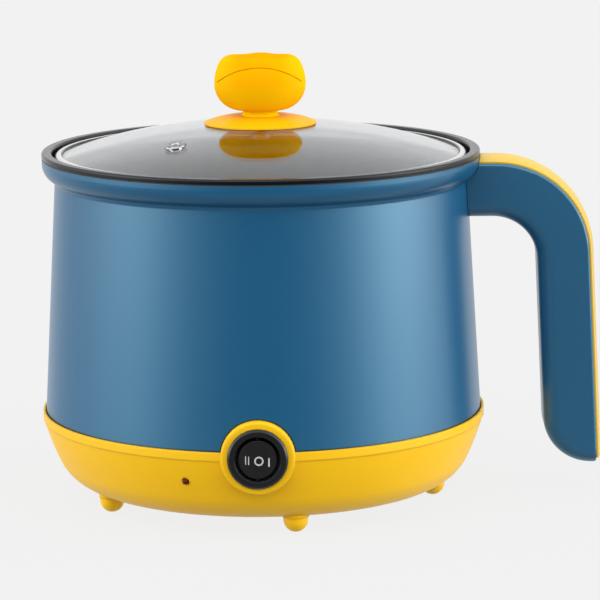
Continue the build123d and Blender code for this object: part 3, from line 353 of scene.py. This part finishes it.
def make_materials():
    """A material for each slot of the record, by the slot's name."""
    return {
        "blue_plastic": plastic(
            "blue_plastic", ((0.0038, 0.070, 0.161), (0.0041, 0.073, 0.166)), (0.29, 0.32), fine_skin,
            **blue_gloss,
        ),
        "yellow_plastic": plastic(
            "yellow_plastic", yellow, yellow_roughness, fine_skin, specular=yellow_specular,
        ),
        "nonstick": plastic(
            "nonstick", ((0.002, 0.003, 0.005), (0.004, 0.005, 0.008)), (0.20, 0.27), 0.015, specular=0.3,
        ),
        "glass": clear("glass", (0.645, 0.67, 0.69), (0.0, 0.004), 1.58),
        "steel": metal("steel", ((0.54, 0.54, 0.55), (0.60, 0.60, 0.61)), (0.20, 0.30)),
        "cast_aluminium": metal(
            "cast_aluminium", ((0.58, 0.58, 0.59), (0.64, 0.64, 0.65)), (0.4, 0.55), 0.3,
        ),
        "silicone": plastic("silicone", ((0.012, 0.012, 0.012), (0.018, 0.018, 0.018)), (0.55, 0.7)),
        "black_plastic": plastic(
            "black_plastic", ((0.006, 0.0063, 0.007), (0.009, 0.0095, 0.0105)), (0.28, 0.36), specular=0.4,
        ),
        "phenolic": plastic("phenolic", ((0.13, 0.06, 0.035), (0.17, 0.09, 0.05)), (0.4, 0.55), 0.15),
        "brass": metal("brass", ((0.72, 0.52, 0.22), (0.78, 0.58, 0.27)), (0.2, 0.34)),
        "red_lens": plastic(
            "red_lens", ((0.085, 0.008, 0.001), (0.11, 0.010, 0.002)), (0.3, 0.4), 0.02, specular=0.15,
        ),
        "lamp_glass": clear("lamp_glass", (0.95, 0.75, 0.55), (0.0, 0.05), 1.45),
        "wire_brown": plastic("wire_brown", ((0.12, 0.045, 0.02), (0.15, 0.06, 0.03)), (0.4, 0.5)),
        "wire_blue": plastic("wire_blue", ((0.03, 0.09, 0.42), (0.05, 0.12, 0.5)), (0.4, 0.5)),
        "wire_green": plastic("wire_green", ((0.08, 0.34, 0.06), (0.1, 0.4, 0.08)), (0.4, 0.5)),
        "wire_white": plastic("wire_white", ((0.74, 0.74, 0.72), (0.8, 0.8, 0.78)), (0.4, 0.5)),
    }


def recolour(tree, shader, mask, colour):
    """Another colour where the mask is 0."""
    before = shader.inputs["Base Color"].links[0].from_socket
    blend = tree.add("ShaderNodeMix", data_type="RGBA")
    tree.join(mask, blend.inputs["Factor"])
    blend.inputs["A"].default_value = (*colour, 1)
    tree.join(before, blend.inputs["B"])
    tree.join(blend.outputs["Result"], shader.inputs["Base Color"])


def knob_plastic():
    """Deep yellow, with painted light towards the knob's neck and at its sides, and painted shade on its
    top.
    """
    material, tree, shader = new_material("deep_yellow")
    finish_surface(tree, shader, (0.50, 0.56), fine_skin, plastic_lumps, plastic_edge)
    shader.inputs["Specular IOR Level"].default_value = 0.0
    x, _, z = tree.place("Generated")
    height = tree.math("MULTIPLY_ADD", tree.noise(knob_lumps, 2.0), knob_drift, z)
    tree.join(tree.ramp(height, knob_light_and_shade_by_height), shader.inputs["Base Color"])
    aside = tree.math("ABSOLUTE", tree.math("MULTIPLY_ADD", x, 2.0, -1.0))
    # painted light towards the knob's sides
    recolour(tree, shader, tree.ramp(aside, knob_side_light_fade), knob_side_light)
    return material


def paint_ring_shade(material):
    """Painted shade: a dark line along the inner lip of the lid's ring."""
    tree, shader = surface_of(material)
    x, y, _ = tree.place("Object")
    outside = tree.math("GREATER_THAN", tree.length(x, y), ring_shade_radius)
    recolour(tree, shader, outside, ring_shade_colour)
    return material


def beside_boss(tree, x, y, z, radius):
    """1 away from the switch's boss, 0 within a radius of its axis at the front."""
    rise = tree.math("SUBTRACT", z, switch_height)
    off_axis = tree.math("GREATER_THAN", tree.length(x, rise), radius)
    behind = tree.math("GREATER_THAN", y, 0.0)
    return tree.math("MAXIMUM", off_axis, behind)


def paint_band_shade(material):
    """Painted shade: a deeper colour on the base's upright band and boss."""
    tree, shader = surface_of(material)
    x, y, z = tree.place("Object")
    below_band = tree.math("LESS_THAN", z, band_foot)
    off_boss = beside_boss(tree, x, y, z, boss_radius)
    recolour(tree, shader, tree.math("MULTIPLY", below_band, off_boss), band_painted_shade)
    return material


def paint_seam_shadows(material):
    """Painted shadow: darken the shell along its seams with the base's band and the switch's boss."""
    tree, shader = surface_of(material)
    x, y, z = tree.place("Object")
    above_band = tree.math("GREATER_THAN", z, seam_height + seam_shadow)
    off_boss = beside_boss(tree, x, y, z, boss_radius + boss_shadow)
    recolour(tree, shader, tree.math("MULTIPLY", above_band, off_boss), seam_shadow_colour)
    return material


def dress_nodes(materials):
    """A few nodes have their own material, the rest have that of their slot."""
    own = {
        # painted light and shade on the knob
        "knob": knob_plastic(),
        "knob_skirt": plastic(
            "skirt_yellow", ((0.76, 0.35, 0.0005), (0.78, 0.365, 0.001)), (0.42, 0.48), fine_skin,
            specular=0.1,
        ),
        # painted shade along the ring's inner lip
        "lid_ring": paint_ring_shade(
            metal("ring_steel", ((0.66, 0.66, 0.67), (0.72, 0.72, 0.73)), (0.16, 0.24), fine_skin),
        ),
        "steam_vent": metal("vent_steel", ((0.30, 0.30, 0.31), (0.36, 0.36, 0.37)), (0.26, 0.36)),
        "handle_body": plastic(
            "handle_blue", ((0.0150, 0.086, 0.173), (0.0158, 0.089, 0.178)), (0.29, 0.33), fine_skin,
            **blue_gloss,
        ),
        "handle_cover": plastic(
            "cover_yellow", ((0.58, 0.365, 0.02), (0.60, 0.38, 0.025)), (0.36, 0.42), fine_skin,
            specular=0.55,
        ),
        # painted shade on the base's band and boss
        "base_cover": paint_band_shade(
            plastic(
                "base_yellow", yellow, yellow_roughness, fine_skin, base_edge, specular=yellow_specular,
            ),
        ),
        # painted shadow along the shell's seams
        "outer_shell": paint_seam_shadows(materials["blue_plastic"].copy()),
    }
    for subpart in frame["record"]["subparts"]:
        node = nodes[subpart["node"]]
        node.data.materials.clear()
        node.data.materials.append(own.get(subpart["node"], materials[subpart["material_slot"]]))


def on_rocker(x, z, rise):
    """A point of the rocker's face, seen from the front, lifted by rise."""
    radius = rocker_sweep_radius + rise
    angle = x / rocker_sweep_radius
    middle = rocker_sweep_radius - rocker_face
    return radius * sin(angle), middle - radius * cos(angle), switch_height + z


def add_mark(name, outer, inner, material):
    """A thin printed mark between two closed outlines, on the rocker's face."""
    shape = bmesh.new()
    count = len(outer)
    rows = []
    for outline, rise in ((outer, 0), (outer, mark_thickness), (inner, mark_thickness), (inner, 0)):
        rows.append([shape.verts.new(on_rocker(x, z, rise)) for x, z in outline])
    for row, after in zip(rows, rows[1:]):
        for index in range(count):
            follow = (index + 1) % count
            shape.faces.new((row[index], row[follow], after[follow], after[index]))
    mesh = bpy.data.meshes.new(name)
    bmesh.ops.recalc_face_normals(shape, faces=shape.faces)
    shape.to_mesh(mesh)
    shape.free()
    mesh.materials.append(material)
    mark = bpy.data.objects.new(name, mesh)
    scene.collection.objects.link(mark)
    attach(mark, "rocker")


def rounded_bar(x, z, width, height):
    """Outlines of an upright bar with round ends, and of a thin core down its middle."""
    outer, inner = [], []
    half = width / 2
    run = height / 2 - half
    for end in (1, -1):
        for step in range(bar_end_steps + 1):
            angle = pi * step / bar_end_steps + (0 if end > 0 else pi)
            outer.append((x + half * cos(angle), z + end * run + half * sin(angle)))
            inner.append((x + bar_core * half * cos(angle), z + end * run))
    return outer, inner


def loop(x, z, radius, stroke):
    """Outlines of a ring."""
    outer, inner = [], []
    for step in range(ring_steps):
        angle = 2 * pi * step / ring_steps
        outer.append((x + radius * cos(angle), z + radius * sin(angle)))
        inner.append((x + (radius - stroke) * cos(angle), z + (radius - stroke) * sin(angle)))
    return outer, inner


def add_marks():
    paint = plastic("mark_paint", ((0.42, 0.42, 0.41), (0.48, 0.48, 0.47)), (0.4, 0.5), edge=0)
    for name, place in high_bars.items():
        add_mark(name, *rounded_bar(*place, *high_bar_size), paint)
    add_mark("mark_off", *loop(*off_ring_place, off_ring_radius, off_ring_stroke), paint)
    add_mark("mark_low", *rounded_bar(*low_bar_place, *low_bar_size), paint)


add_camera()
add_world()
add_floor()
dress_nodes(make_materials())
add_marks()
